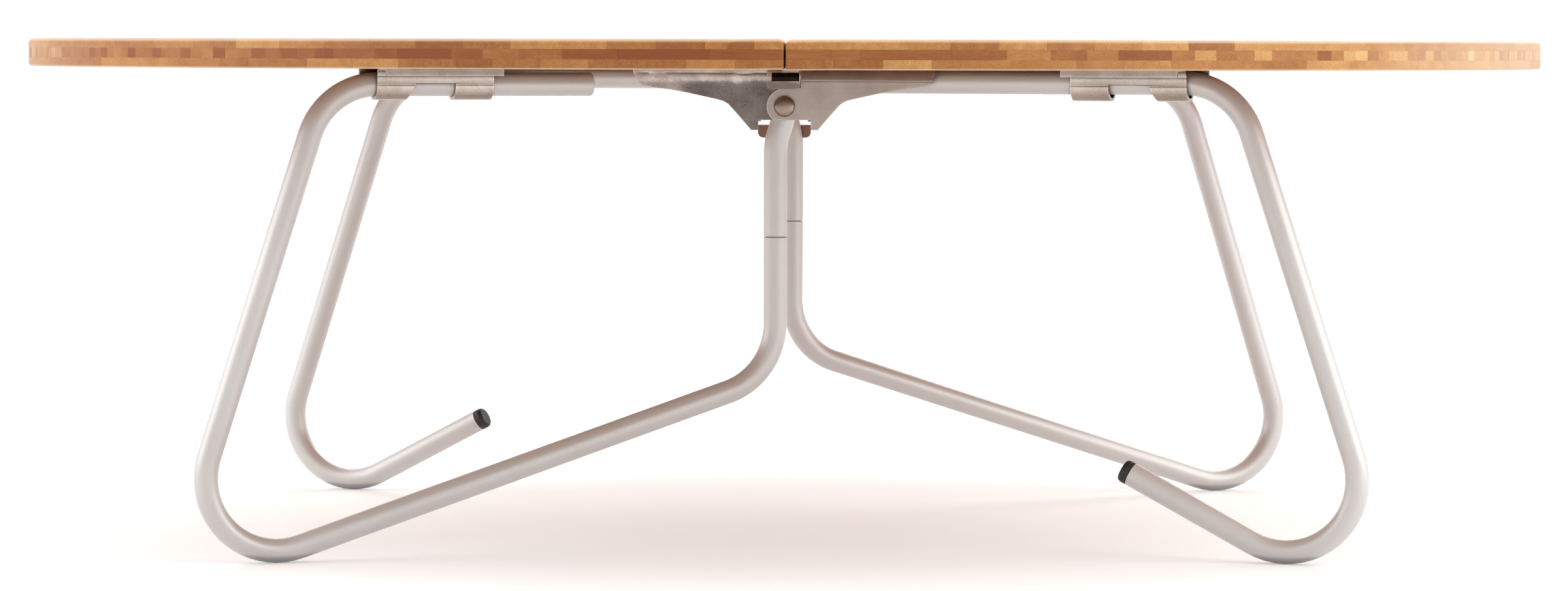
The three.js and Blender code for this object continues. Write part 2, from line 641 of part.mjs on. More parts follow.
addNode('centre_tube', 'sand_paint', centreTube());
addPair('near_post', 'far_post', 'sand_paint', post());
addPair('near_spigot', 'far_spigot', 'screw_steel', spigot());
addPair('near_pivot_pin', 'far_pivot_pin', 'nickel', pivotPin());
addNode('stop_block', 'brown_plastic', stopBlock());

addPair('near_left_leg', 'far_right_leg', 'sand_paint', loopLeg());
addPair('near_right_leg', 'far_left_leg', 'sand_paint', hookLeg());
addPair('near_right_foot_cap', 'far_left_foot_cap', 'black_plastic', footCap());

export default assembly;
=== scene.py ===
"""Looks of the low round folding table: fine meshes over the CAD pieces, finishes, floor, light and camera.

Z is up, the seam runs along Y and the viewer stands at -Y. The far pieces are the near ones, turned
half round the table's centre."""
import json
import math
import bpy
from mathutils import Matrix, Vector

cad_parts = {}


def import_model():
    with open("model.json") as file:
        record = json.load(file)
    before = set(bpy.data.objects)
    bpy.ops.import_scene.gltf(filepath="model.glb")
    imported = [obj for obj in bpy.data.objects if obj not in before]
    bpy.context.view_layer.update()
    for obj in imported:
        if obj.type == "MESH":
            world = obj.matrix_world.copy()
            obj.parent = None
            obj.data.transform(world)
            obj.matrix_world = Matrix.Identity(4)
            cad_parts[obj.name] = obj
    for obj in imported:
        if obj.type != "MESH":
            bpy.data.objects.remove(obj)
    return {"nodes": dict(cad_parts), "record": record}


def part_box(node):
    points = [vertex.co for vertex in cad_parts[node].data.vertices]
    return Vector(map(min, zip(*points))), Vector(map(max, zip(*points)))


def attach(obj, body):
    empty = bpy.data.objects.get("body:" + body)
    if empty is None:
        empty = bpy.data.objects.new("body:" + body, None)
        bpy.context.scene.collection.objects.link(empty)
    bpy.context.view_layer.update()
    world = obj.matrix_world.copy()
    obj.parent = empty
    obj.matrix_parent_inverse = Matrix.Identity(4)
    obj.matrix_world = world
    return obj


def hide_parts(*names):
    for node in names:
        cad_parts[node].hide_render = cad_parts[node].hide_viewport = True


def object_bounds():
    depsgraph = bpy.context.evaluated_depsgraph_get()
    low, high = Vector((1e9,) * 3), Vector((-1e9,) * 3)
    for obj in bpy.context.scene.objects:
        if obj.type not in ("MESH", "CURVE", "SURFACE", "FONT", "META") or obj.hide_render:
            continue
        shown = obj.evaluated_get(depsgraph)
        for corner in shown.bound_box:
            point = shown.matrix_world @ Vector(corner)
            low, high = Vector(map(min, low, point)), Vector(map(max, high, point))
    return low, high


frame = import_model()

from types import SimpleNamespace

import bmesh
import bpy
from mathutils import Matrix, Vector

MM = 0.001
CAD_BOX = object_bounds()

# ---- sizes, in millimetres as in the construction ------------------------------------
CLEARANCE = 0.3

# Table top: two half discs of three plies.
TABLE_RADIUS = CAD_BOX[1].x / MM
TABLE_HEIGHT = CAD_BOX[1].z / MM
TOP_THICKNESS = 15.0
UNDERSIDE = TABLE_HEIGHT - TOP_THICKNESS
PLY = TOP_THICKNESS / 3
TOP_ROUND, UNDER_ROUND, CORNER_ROUND = 2.6, 1.4, 1.3
SEAM_UNDER_ROUND = 0.15
SEAM_HALF = 0.4

# The boards have moved a little at the seam: both bow to the right, and the left one stands higher.
SEAM_BOW = 0.9
SEAM_BOW_POWER = 8
SEAM_STEP = 0.25
SEAM_REACH = 20.0

# Strips of bamboo
OUTER_STRIP, MIDDLE_STRIP = 23.8, 18.7
STRIP_LENGTH = 620.0
SLATS_IN_STRIP = 3.0
KNUCKLE_SPACING = 270.0

# Bent tubes. A leg's points are (distance outwards, height) in its own upright plane.
TUBE_RADIUS, TUBE_BORE = 6.35, 5.15
TUBE_LIP = 0.35
BEND_RADIUS = 38.8
LEG_ANGLE = math.radians(20)
LOOP_TUBE_Z = UNDERSIDE - 8.9
LOOP_CUT_END, LOOP_SHOULDER = 105.0, 251.8
LOOP_FOOT = (338.5, -14.93)
LOOP_INNER_HEIGHT = 93.6
LOOP_END_ROUND = 1.1
HOOK_TUBE_Z = UNDERSIDE - 7.4
HOOK_CUT_END, HOOK_SHOULDER = 26.8, 248.1
HOOK_FOOT = (343.7, -32.95)
HOOK_TOE = 192.0
HOOK_RISE = 0.5146
HOOK_Y = 121.0
POST_X, POST_Y = 4.8, 126.0
POST_TOP, POST_CRANK_TOP, POST_CRANK_FOOT = 3.0, -5.2, -20.2
POST_CUT = 0.5
JOINT_HEIGHT = 169.0

# Hinges
PIVOT_Z = UNDERSIDE - 20.6
HINGE_Y = 155.85
PLATE = 2.5
PLATE_FRONT_Y = HINGE_Y + CLEARANCE / 2 + PLATE
CENTRE_TUBE_END = HINGE_Y - CLEARANCE / 2 - PLATE - CLEARANCE
PLATE_FOLD_Z = (252.5, 255.5)
PLATE_TIP_X = (50.0, 62.0)
CREASE_Z, CREASE_DEPTH = UNDERSIDE - 7.2, 0.25
TONGUE_Y, TONGUE_HALF = 165.5, 9.3
TONGUE_ROUND, TONGUE_ROUND_STEPS = 1.1, 4
TONGUE_LEAST_HEIGHT = 2.0
# The keeper tongue's dark reflection is painted on as a band: its heights and its reach across.
REFLECTION_BAND_Z, REFLECTION_BAND_X = (253.9, 258.6), (-6.9, 7.9)
PIN_RADIUS, PIN_HEAD_RADIUS, PIN_HEAD = 3.2, 5.8, 3.0
PIN_GROOVE = [(1.1, 5.8), (1.2, 5.7), (1.2, 5.62), (0.7, 5.5), (0.7, 5.36)]
PIN_DOME_FOOT, PIN_DOME_RADIUS = 1.3, 5.3
PIN_PLUG_START, PIN_PLUG_END = 20.0, 5.5
PLUG_RADIUS = TUBE_BORE - CLEARANCE
SCREW_RADIUS, SCREW_LENGTH, SCREW_POINT = 2.0, 12.6, 0.6
SCREW_HEAD_RADIUS, SCREW_HEAD = 5.2, 1.7
SINK_RADIUS, SINK_DEPTH = 3.5, 1.7

# Clips
CLIP_SHEET = 1.6
CLIP_OUTER = 8.35
CLIP_LIP_Z = UNDERSIDE - 4.4
CLIP_WINDOW_TOP = 252.6
LOOP_WINDOW_END, HOOK_WINDOW_END = 205.0, 202.6
CLIP_SLANT = 0.42
CLIP_LINE_Z, CLIP_LINE_DEPTH = LOOP_TUBE_Z - 0.2, 0.12
CLIP_BACK_S = (205.0, 231.3)
CLIP_BACK_Z = (UNDERSIDE - 11.0, UNDERSIDE - 0.1)
CLIP_BACK_ROUND = 1.5
CLIP_BACK_GAP = 0.02

# Edges are broken this much, where faces meet at more than the sharp angle, in degrees.
SHARP_ANGLE = 31
FLAT_ANGLE = 0.6
CLIP_EDGE = 0.25
BRACKET_EDGE = 0.3
EDGE_OF = {"screw_steel": 0.15, "black_plastic": 0.2, "brown_plastic": 0.6}

# Points this close together are one, and points this close to a plane count as on it.
SAME_POINT = 0.02
NEAR = 0.2

BODY_OF = {node: body for body, nodes in frame["record"]["behaviour"]["bodies"].items() for node in nodes}
SLOT_OF = {part["node"]: part["material_slot"] for part in frame["record"]["subparts"]}


# ---- mesh helpers ---------------------------------------------------------------------
def new_object(name, bm, smooth_angle=40):
    mesh = bpy.data.meshes.new(name)
    bm.normal_update()
    bm.to_mesh(mesh)
    bm.free()
    mesh.shade_smooth()
    mesh.set_sharp_from_angle(angle=math.radians(smooth_angle))
    piece = bpy.data.objects.new(name, mesh)
    bpy.context.scene.collection.objects.link(piece)
    return piece


def opened(piece):
    """A copy of the piece's mesh, open for changes."""
    bm = bmesh.new()
    bm.from_mesh(piece.data)
    return bm


def write_back(bm, piece):
    bm.to_mesh(piece.data)
    bm.free()


def stands_for(piece, node, material=None):
    """The piece takes the place and body of a CAD node, and the finish of its slot if none is given."""
    piece.data.materials.append(material or FINISH_OF[SLOT_OF[node]])
    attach(piece, BODY_OF[node])
    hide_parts(node)


def half_turned(piece, name):
    """A copy turned half round the table's centre, as every far piece is."""
    copy = piece.data.copy()
    copy.transform(Matrix.Rotation(math.pi, 4, "Z"))
    twin = bpy.data.objects.new(name, copy)
    bpy.context.scene.collection.objects.link(twin)
    return twin


def cut(bm, place, normal):
    """Splits the faces along a plane through a place in millimetres."""
    bmesh.ops.bisect_plane(bm, geom=bm.verts[:] + bm.edges[:] + bm.faces[:],
                           plane_co=[c * MM for c in place], plane_no=normal)


def skin(bm, ring, following):
    """A band of faces between two rings of points, either of which may be a single point."""
    count = max(len(ring), len(following))
    for k in range(count):
        n = (k + 1) % count
        corners = [ring[k % len(ring)], ring[n % len(ring)],
                   following[n % len(following)], following[k % len(following)]]
        bm.faces.new(list(dict.fromkeys(corners)))


def quarter_turn(steps):
    """Angles from 0 to a right angle."""
    return [math.pi / 2 * k / steps for k in range(steps + 1)]


def refined(node, edge):
    """The CAD solid with its flat faces joined up and its edges broken by a small bevel."""
    bm = opened(frame["nodes"][node])
    for face in bm.faces:
        face.material_index = 0
    bmesh.ops.remove_doubles(bm, verts=bm.verts, dist=SAME_POINT * MM)
    bmesh.ops.dissolve_limit(bm, angle_limit=math.radians(FLAT_ANGLE), verts=bm.verts, edges=bm.edges)
    piece = new_object(node + "_fine", bm, SHARP_ANGLE)
    bevel = piece.modifiers.new("edges", "BEVEL")
    bevel.width = edge * MM
    bevel.segments = 2
    bevel.limit_method = "ANGLE"
    bevel.angle_limit = math.radians(SHARP_ANGLE)
    bevel.use_clamp_overlap = True
    bevel.harden_normals = True
    return piece


def press_line(bm, height, depth, inwards_at, half_width=0.4):
    """Presses a fine horizontal groove where inwards_at(point) gives a way in rather than None."""
    for z in (height - half_width, height, height + half_width):
        cut(bm, (0, 0, z), (0, 0, 1))
    for v in bm.verts:
        inwards = inwards_at(v.co / MM) if abs(v.co.z / MM - height) < SAME_POINT else None
        if inwards is not None:
            v.co += inwards * (depth * MM)


# ---- hinge brackets -------------------------------------------------------------------
def keeper_bracket(node):
    """The bracket with the keeper tongue, which is polished, with its dark reflection painted as a band
    across its front.
    """
    piece = refined(node, BRACKET_EDGE)
    bm = opened(piece)
    front = max(abs(v.co.y) for v in bm.verts) / MM - NEAR
    upright = [e for e in bm.edges
               if all(abs(v.co.y / MM) > front and abs(v.co.x / MM) < TONGUE_HALF for v in e.verts)
               and abs(e.verts[0].co.z - e.verts[1].co.z) > TONGUE_LEAST_HEIGHT * MM]
    bmesh.ops.bevel(bm, geom=upright, offset=TONGUE_ROUND * MM, segments=TONGUE_ROUND_STEPS,
                    profile=0.5, affect="EDGES")
    for z in REFLECTION_BAND_Z:
        cut(bm, (0, 0, z), (0, 0, 1))
    for x in REFLECTION_BAND_X:
        cut(bm, (x, 0, 0), (1, 0, 0))
    side = 1 if node.startswith("far") else -1
    for face in bm.faces:
        middle = face.calc_center_median() / MM
        if side * middle.y < TONGUE_Y or abs(middle.x) > TONGUE_HALF:
            continue
        # Faces in the band get the painted dark reflection, the rest of the tongue the polished finish.
        in_painted_reflection = REFLECTION_BAND_Z[0] < middle.z < REFLECTION_BAND_Z[1] and REFLECTION_BAND_X[0] < -side * middle.x < REFLECTION_BAND_X[1]
        face.material_index = 2 if in_painted_reflection and side * face.normal.y > 0.5 else 1
    write_back(bm, piece)
    stands_for(piece, node, SHADED_PLATE_STEEL)
    piece.data.materials.append(POLISHED)
    piece.data.materials.append(PAINTED_REFLECTION)


def creased_bracket(node):
    """The bracket with a fine crease pressed in where its plate turns into the bend."""
    piece = refined(node, BRACKET_EDGE)
    bm = opened(piece)
    front = max(abs(v.co.y) for v in bm.verts) / MM - NEAR
    press_line(bm, CREASE_Z, CREASE_DEPTH,
               lambda p: Vector((0, -math.copysign(1, p.y), 0)) if abs(p.y) > front else None)
    write_back(bm, piece)
    stands_for(piece, node)


# ---- clips ----------------------------------------------------------------------------
def leg_clip(node):
    """The clip with its outer loop cut slanting, a line pressed along its front wall and a back strip."""
    piece = refined(node, CLIP_EDGE)
    bm = opened(piece)
    on_loop = node in ("near_left_clip", "far_right_clip")
    at, normal = loop_frame() if on_loop else hook_frame()
    turned = Matrix.Rotation(math.pi if node.startswith("far") else 0, 3, "Z")
    origin, along = turned @ at(0, 0), turned @ (at(1, 0) - at(0, 0))
    away = turned @ (normal if normal.y > 0 else -normal)
    press_line(bm, CLIP_LINE_Z, CLIP_LINE_DEPTH,
               lambda p: away if abs((origin - p).dot(away) - CLIP_OUTER) < NEAR else None)
    slant_loop(bm, origin, along, LOOP_WINDOW_END if on_loop else HOOK_WINDOW_END)
    add_back_strip(bm, lambda s, z, gap: (turned @ at(s, z) + away * gap) * MM)
    write_back(bm, piece)
    stands_for(piece, node, CLIP_STEEL)


def slant_loop(bm, origin, along, window_end):
    """Moves the outer loop's edge outwards below the window's top, further the lower it is."""
    cut(bm, (0, 0, CLIP_WINDOW_TOP), (0, 0, 1))
    for v in bm.verts:
        below = CLIP_WINDOW_TOP - v.co.z / MM
        if below > 0 and abs((v.co / MM - origin).dot(along) - window_end) < NEAR:
            v.co += along * (CLIP_SLANT * below * MM)


def add_back_strip(bm, point):
    """A flat strip with round corners behind the loops, up to the board."""
    low_s, high_s = CLIP_BACK_S[0] + CLIP_BACK_ROUND, CLIP_BACK_S[1] - CLIP_BACK_ROUND
    low_z, high_z = CLIP_BACK_Z[0] + CLIP_BACK_ROUND, CLIP_BACK_Z[1] - CLIP_BACK_ROUND
    outline = []
    for quarter, (s, z) in enumerate([(low_s, low_z), (high_s, low_z), (high_s, high_z), (low_s, high_z)]):
        for turn in quarter_turn(5):
            a = math.pi + quarter * math.pi / 2 + turn
            outline.append((s + CLIP_BACK_ROUND * math.cos(a), z + CLIP_BACK_ROUND * math.sin(a)))
    front_gap = CLIP_OUTER + CLIP_BACK_GAP
    front, back = [[bm.verts.new(point(s, z, gap)) for s, z in outline]
                   for gap in (front_gap, front_gap + CLIP_SHEET)]
    skin(bm, front, back)
    flats = [bm.faces.new(front), bm.faces.new(back)]
    bmesh.ops.recalc_face_normals(bm, faces=bm.faces)
    for face in flats:
        face.smooth = False


# ---- bent tubes -----------------------------------------------------------------------
def rounded_path(corners, steps=20):
    """The polyline through the corners, each inner corner rounded to the bend radius."""
    path = [corners[0].copy()]
    for before, corner, after in zip(corners, corners[1:], corners[2:]):
        back = (before - corner).normalized()
        ahead = (after - corner).normalized()
        half = back.angle(ahead) / 2
        centre = corner + (back + ahead).normalized() * (BEND_RADIUS / math.sin(half))
        start = corner + back * (BEND_RADIUS / math.tan(half)) - centre
        axis = back.cross(ahead).normalized()
        sweep = 2 * half - math.pi
        for k in range(steps + 1):
            path.append(centre + Matrix.Rotation(sweep * k / steps, 3, axis) @ start)
    path.append(corners[-1].copy())
    return path


def swept_tube(name, path, plane_normal, first_round=0.0, sides=32):
    """A hollow tube along a flat path, with its cut ends slightly broken, or the first one rounded."""
    last = len(path) - 1
    tangents = [(path[min(i + 1, last)] - path[max(i - 1, 0)]).normalized() for i in range(last + 1)]
    rounding = first_round or TUBE_LIP
    rims = [(path[0] + tangents[0] * (rounding * (1 - math.cos(a))), tangents[0],
             TUBE_RADIUS - rounding * (1 - math.sin(a))) for a in quarter_turn(4 if first_round else 1)]
    rims += [(point, tangent, TUBE_RADIUS) for point, tangent in zip(path[1:last], tangents[1:last])]
    rims.append((path[last] - tangents[last] * TUBE_LIP, tangents[last], TUBE_RADIUS))
    rims.append((path[last], tangents[last], TUBE_RADIUS - TUBE_LIP))
    rims += [(point, tangent, TUBE_BORE) for point, tangent in zip(reversed(path), reversed(tangents))]
    bm = bmesh.new()
    rings = []
    for point, tangent, radius in rims:
        across = tangent.cross(plane_normal).normalized()
        turns = [2 * math.pi * k / sides for k in range(sides)]
        ring = [point + across * (radius * math.cos(a)) + plane_normal * (radius * math.sin(a))
                for a in turns]
        rings.append([bm.verts.new(place * MM) for place in ring])
    for ring, following in zip(rings, rings[1:] + rings[:1]):
        skin(bm, ring, following)
    bmesh.ops.recalc_face_normals(bm, faces=bm.faces)
    return new_object(name, bm)


def leg_frame(x, y, side):
    """A leg's upright plane: at(s, z) gives a point s outwards from the centre, and the plane's normal."""
    along = Vector((side * math.cos(LEG_ANGLE), -math.sin(LEG_ANGLE), 0))
    normal = along.cross(Vector((0, 0, 1)))
    return (lambda s, z: Vector((x, y, z)) + along * s), normal


def loop_frame():
    return leg_frame(-POST_X, -POST_Y, -1)


def hook_frame():
    return leg_frame(POST_X, -HOOK_Y, 1)


def loop_leg():
    """The near left leg: out under the top, down, in along the floor and up to the post."""
    at, normal = loop_frame()
    corners = [at(LOOP_CUT_END, LOOP_TUBE_Z), at(LOOP_SHOULDER, LOOP_TUBE_Z), at(*LOOP_FOOT),
               at(0, LOOP_INNER_HEIGHT), at(0, JOINT_HEIGHT - CLEARANCE / 2)]
    return swept_tube("near_left_leg_fine", rounded_path(corners), normal, first_round=LOOP_END_ROUND)


def hook_leg():
    """The near right leg: out under the top, down and a short way back in."""
    at, normal = hook_frame()
    toe = at(HOOK_TOE, HOOK_FOOT[1] + (HOOK_FOOT[0] - HOOK_TOE) * HOOK_RISE)
    corners = [at(HOOK_CUT_END, HOOK_TUBE_Z), at(HOOK_SHOULDER, HOOK_TUBE_Z), at(*HOOK_FOOT), toe]
    return swept_tube("near_right_leg_fine", rounded_path(corners), normal)


def post():
    """The near post, cranked sideways, from inside the centre tube down to the joint."""
    corners = [(0, PIVOT_Z + POST_TOP), (0, PIVOT_Z + POST_CRANK_TOP), (-POST_X, PIVOT_Z + POST_CRANK_FOOT),
               (-POST_X, JOINT_HEIGHT + CLEARANCE / 2)]
    path = rounded_path([Vector((x, -POST_Y, z)) for x, z in corners])
    return swept_tube("near_post_fine", [p for p in path if p.z < PIVOT_Z - POST_CUT], Vector((0, 1, 0)))


def centre_tube():
    ends = [Vector((0, y, PIVOT_Z)) for y in (-CENTRE_TUBE_END, CENTRE_TUBE_END)]
    return swept_tube("centre_tube_fine", ends, Vector((1, 0, 0)))


# ---- turned pieces --------------------------------------------------------------------
def lathe(name, profile, segments):
    """A profile of (radius, height) pairs, first and last on the axis, turned about Z."""
    bm = bmesh.new()
    rings = []
    for radius, height in profile:
        turns = [2 * math.pi * k / segments for k in range(segments)] if radius else [0]
        ring = [Vector((radius * math.cos(a), radius * math.sin(a), height)) for a in turns]
        rings.append([bm.verts.new(place * MM) for place in ring])
    for ring, following in zip(rings, rings[1:]):
        skin(bm, ring, following)
    bmesh.ops.recalc_face_normals(bm, faces=bm.faces)
    return new_object(name, bm, smooth_angle=38)


def dome(radius, rise):
    """Profile of a shallow dome, up from its rim and short of its crown."""
    return [(radius * math.cos(a), rise * math.sin(a)) for a in quarter_turn(7)[:-1]]


def pivot_pin():
    """Domed head with a groove round it, shank through the plates and a plug in the centre tube."""
    seat = PLATE_FRONT_Y + CLEARANCE
    profile = [(0, seat - PIN_PLUG_START), (PLUG_RADIUS, seat - PIN_PLUG_START),
               (PLUG_RADIUS, seat - PIN_PLUG_END), (PIN_RADIUS, seat - PIN_PLUG_END + 0.2),
               (PIN_RADIUS, seat), (PIN_HEAD_RADIUS, seat)]
    profile += [(radius, seat + height) for height, radius in PIN_GROOVE]
    crown = dome(PIN_DOME_RADIUS, PIN_HEAD - PIN_DOME_FOOT) + [(0, PIN_HEAD - PIN_DOME_FOOT)]
    profile += [(radius, seat + PIN_DOME_FOOT + rise) for radius, rise in crown]
    piece = lathe("near_pivot_pin_fine", profile, 48)
    piece.data.transform(Matrix.Translation((0, 0, PIVOT_Z * MM)) @ Matrix.Rotation(math.pi / 2, 4, "X"))
    return piece


def bracket_screw(node):
    """Raised countersunk head under the flange, with a shank in the wood."""
    low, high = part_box(node)
    seat = UNDERSIDE - PLATE
    head = [(radius, seat - rise) for radius, rise in reversed(dome(SCREW_HEAD_RADIUS, SCREW_HEAD))]
    shank = [(SINK_RADIUS, seat + 0.1), (SCREW_RADIUS, seat + SINK_DEPTH),
             (SCREW_RADIUS, seat + SCREW_LENGTH - SCREW_POINT), (0, seat + SCREW_LENGTH)]
    piece = lathe(node + "_fine", [(0, seat - SCREW_HEAD)] + head + shank, 24)
    piece.data.transform(Matrix.Translation(((low.x + high.x) / 2, (low.y + high.y) / 2, 0)))
    return piece


# ---- table top ------------------------------------------------------------------------
def half_outline(inset, seam_inset, rim_steps=180, corner_steps=5, seam_steps=24):
    """Plan of a half disc, drawn in by the insets: the rim, two rounded corners and the seam side."""
    r = TABLE_RADIUS - inset
    seam = SEAM_HALF + seam_inset
    reach = seam + CORNER_ROUND
    corner_y = math.sqrt((r - CORNER_ROUND) ** 2 - reach ** 2)
    limit = math.atan2(corner_y, reach)
    rim = [-limit + 2 * limit * k / rim_steps for k in range(rim_steps + 1)]
    rim = [(r * math.cos(a), r * math.sin(a)) for a in rim]
    corner = [limit + (math.pi - limit) * k / corner_steps for k in range(1, corner_steps + 1)]
    corner = [(reach + CORNER_ROUND * math.cos(a), corner_y + CORNER_ROUND * math.sin(a)) for a in corner]
    side = [(seam, corner_y - 2 * corner_y * k / seam_steps) for k in range(1, seam_steps)]
    return rim + corner + side + [(x, -y) for x, y in reversed(corner)]


def half_top(name, side):
    """A half disc with rounded edges, bowed and stepped at the seam by less than a millimetre."""
    bm = bmesh.new()
    turns = quarter_turn(6)
    profile = [(UNDER_ROUND * (1 - math.sin(a)), UNDERSIDE + UNDER_ROUND * (1 - math.cos(a))) for a in turns]
    profile += [(TOP_ROUND * (1 - math.cos(a)), TABLE_HEIGHT - TOP_ROUND * (1 - math.sin(a))) for a in turns]
    rings = []
    for inset, z in profile:
        seam_inset = inset if z > UNDERSIDE + PLY else SEAM_UNDER_ROUND / UNDER_ROUND * inset
        outline = half_outline(inset, seam_inset)
        rings.append([bm.verts.new(Vector((side * x, y, z)) * MM) for x, y in outline])
    for ring, following in zip(rings, rings[1:]):
        skin(bm, ring, following)
    bm.faces.new(rings[0])
    bm.faces.new(rings[-1])
    bmesh.ops.recalc_face_normals(bm, faces=bm.faces)
    cut(bm, (side * SEAM_REACH, 0, 0), (1, 0, 0))
    for v in bm.verts:
        near_seam = max(0.0, 1 - abs(v.co.x) / (SEAM_REACH * MM))
        v.co.x += SEAM_BOW * MM * (1 - (v.co.y / (TABLE_RADIUS * MM)) ** SEAM_BOW_POWER) * near_seam
        v.co.z -= side * SEAM_STEP * MM * near_seam
    return new_object(name, bm)


# ---- material helpers -----------------------------------------------------------------
def srgb(*levels):
    """A colour written as it is seen, from 0 to 255, in the linear values that a shader takes."""
    seen = [level / 255 for level in levels]
    return tuple((c / 12.92 if c <= 0.04045 else ((c + 0.055) / 1.055) ** 2.4) for c in seen) + (1,)


def grey(value):
    return (value, value, value, 1)


class Nodes:
    """A node tree being built: add() makes a node, and a socket given as a value is linked."""

    def __init__(self, tree):
        self.tree = tree

    def add(self, kind, inputs=(), **settings):
        node = self.tree.nodes.new(kind)
        for key, value in settings.items():
            setattr(node, key, value)
        for key, value in dict(inputs).items():
            self.feed(node.inputs[key], value)
        return node

    def feed(self, socket, value):
        if isinstance(value, bpy.types.NodeSocket):
            self.tree.links.new(value, socket)
        else:
            socket.default_value = value

    def math(self, operation, a, b=0.0, c=0.0, clamp=False):
        return self.add("ShaderNodeMath", {0: a, 1: b, 2: c}, operation=operation, use_clamp=clamp).outputs[0]

    def plus(self, a, b):
        return self.math("ADD", a, b)

    def minus(self, a, b):
        return self.math("SUBTRACT", a, b)

    def times(self, a, b):
        return self.math("MULTIPLY", a, b)

    def over(self, a, b):
        return self.math("DIVIDE", a, b)

    def larger(self, a, b):
        return self.math("MAXIMUM", a, b)

    def size(self, a):
        return self.math("ABSOLUTE", a)

    def floor(self, a):
        return self.math("FLOOR", a)

    def fitted(self, value, low, high, first, second):
        """The value's stretch from low to high, eased onto first to second and held beyond."""
        inputs = {0: value, 1: low, 2: high, 3: first, 4: second}
        return self.add("ShaderNodeMapRange", inputs, interpolation_type="SMOOTHSTEP").outputs[0]

    def blend(self, factor, first, second):
        """The first number where the factor is 0, the second where it is 1."""
        return self.add("ShaderNodeMix", {0: factor, 2: first, 3: second}, data_type="FLOAT").outputs[0]

    def blend_colours(self, factor, first, second):
        return self.add("ShaderNodeMix", {0: factor, 6: first, 7: second}, data_type="RGBA").outputs[2]

    def tinted(self, colour, brightness):
        inputs = {0: colour, "Scale": brightness}
        return self.add("ShaderNodeVectorMath", inputs, operation="SCALE").outputs[0]

    def vectors(self, operation, a, b):
        return self.add("ShaderNodeVectorMath", {0: a, 1: b}, operation=operation).outputs[0]

    def joined(self, x, y, z=0.0):
        return self.add("ShaderNodeCombineXYZ", {"X": x, "Y": y, "Z": z}).outputs[0]

    def parts(self, vector):
        """The vector's X, Y and Z."""
        return self.add("ShaderNodeSeparateXYZ", {"Vector": vector}).outputs

    def noise(self, vector, scale, detail=2.0, roughness=0.5):
        inputs = {"Vector": vector, "Scale": scale, "Detail": detail, "Roughness": roughness}
        return self.add("ShaderNodeTexNoise", inputs).outputs["Fac"]

    def random(self, vector):
        """A number from 0 to 1 that is the same wherever the vector is the same."""
        return self.add("ShaderNodeTexWhiteNoise", {"Vector": vector}, noise_dimensions="3D").outputs["Value"]

    def ramp(self, value, stops, interpolation="LINEAR"):
        node = self.add("ShaderNodeValToRGB", {"Fac": value})
        node.color_ramp.interpolation = interpolation
        elements = node.color_ramp.elements
        while len(elements) < len(stops):
            elements.new(0.5)
        for element, (position, colour) in zip(elements, stops):
            element.position = position
            element.color = colour
        return node.outputs["Color"]

    def seen(self):
        """1 for the rays of the camera and of reflections, 0 for the light that falls on the object."""
        path = self.add("ShaderNodeLightPath").outputs
        direct = self.larger(path["Is Camera Ray"], path["Is Glossy Ray"])
        return self.larger(direct, path["Is Transmission Ray"])


class Finish(Nodes):
    """A material whose principled shader is fed by shade(). Its position is in the object's own metres."""

    def __init__(self, name):
        self.material = bpy.data.materials.new(name)
        self.material.use_nodes = True
        super().__init__(self.material.node_tree)
        self.shader = self.tree.nodes["Principled BSDF"]
        coordinates = self.add("ShaderNodeTexCoord").outputs
        self.position, self.normal = coordinates["Object"], coordinates["Normal"]

    def shade(self, **inputs):
        for key, value in inputs.items():
            self.feed(self.shader.inputs[key.replace("_", " ")], value)

    def bump(self, height, strength, distance):
        inputs = {"Height": height, "Strength": strength, "Distance": distance}
        return self.add("ShaderNodeBump", inputs).outputs["Normal"]

    def openness(self, reach, **settings):
        """1 on open surface, less in corners that other surface comes within reach of."""
        inputs = {"Distance": reach * MM}
        return self.add("ShaderNodeAmbientOcclusion", inputs, samples=8, **settings).outputs["AO"]


# ---- bamboo ---------------------------------------------------------------------------
def strip_layout(f, axes):
    """Where a point lies among the glued strips: along Y in the outer plies and along X in the middle one."""
    ply_place = f.over(f.minus(axes["Z"], UNDERSIDE * MM), PLY * MM)
    ply = f.larger(f.math("MINIMUM", f.floor(ply_place), 2.0), 0.0)
    middle = f.math("COMPARE", ply, 1.0, 0.5)
    along = f.blend(middle, axes["Y"], axes["X"])
    across = f.blend(middle, axes["X"], axes["Y"])
    width = f.blend(middle, OUTER_STRIP * MM, MIDDLE_STRIP * MM)
    lane_place = f.plus(f.over(across, width), f.times(ply, 0.31))
    lane = f.floor(lane_place)
    offset = f.times(f.random(f.joined(lane, ply, 4.7)), 7.3)
    length_place = f.plus(f.over(along, STRIP_LENGTH * MM), offset)
    seed = f.joined(lane, f.floor(length_place), ply)
    return SimpleNamespace(middle=middle, along=along, across=across, seed=seed, tone=f.random(seed),
                           ply_place=ply_place, lane_place=lane_place, length_place=length_place)


def bamboo_fibres(f, strips, height):
    """Fibres long along the strip and fine across it, so that cut ends show as dots, and broader streaks."""
    per_metre_along, per_metre_across = 34.0, 1150.0
    stretch = f.joined(f.times(strips.along, per_metre_along), f.times(strips.across, per_metre_across),
                       f.times(height, per_metre_across))
    place = f.vectors("ADD", stretch, f.vectors("MULTIPLY", strips.seed, (17.3, 31.7, 11.9)))
    streak_place = f.vectors("MULTIPLY", place, (0.3, 0.14, 0.14))
    return f.noise(place, 1.0, 3.0, 0.6), f.noise(streak_place, 1.0)


def by_half(f, axes, left, right):
    """The first number on the left board, the second on the right one."""
    return f.fitted(axes["X"], -2 * MM, 2 * MM, left, right)


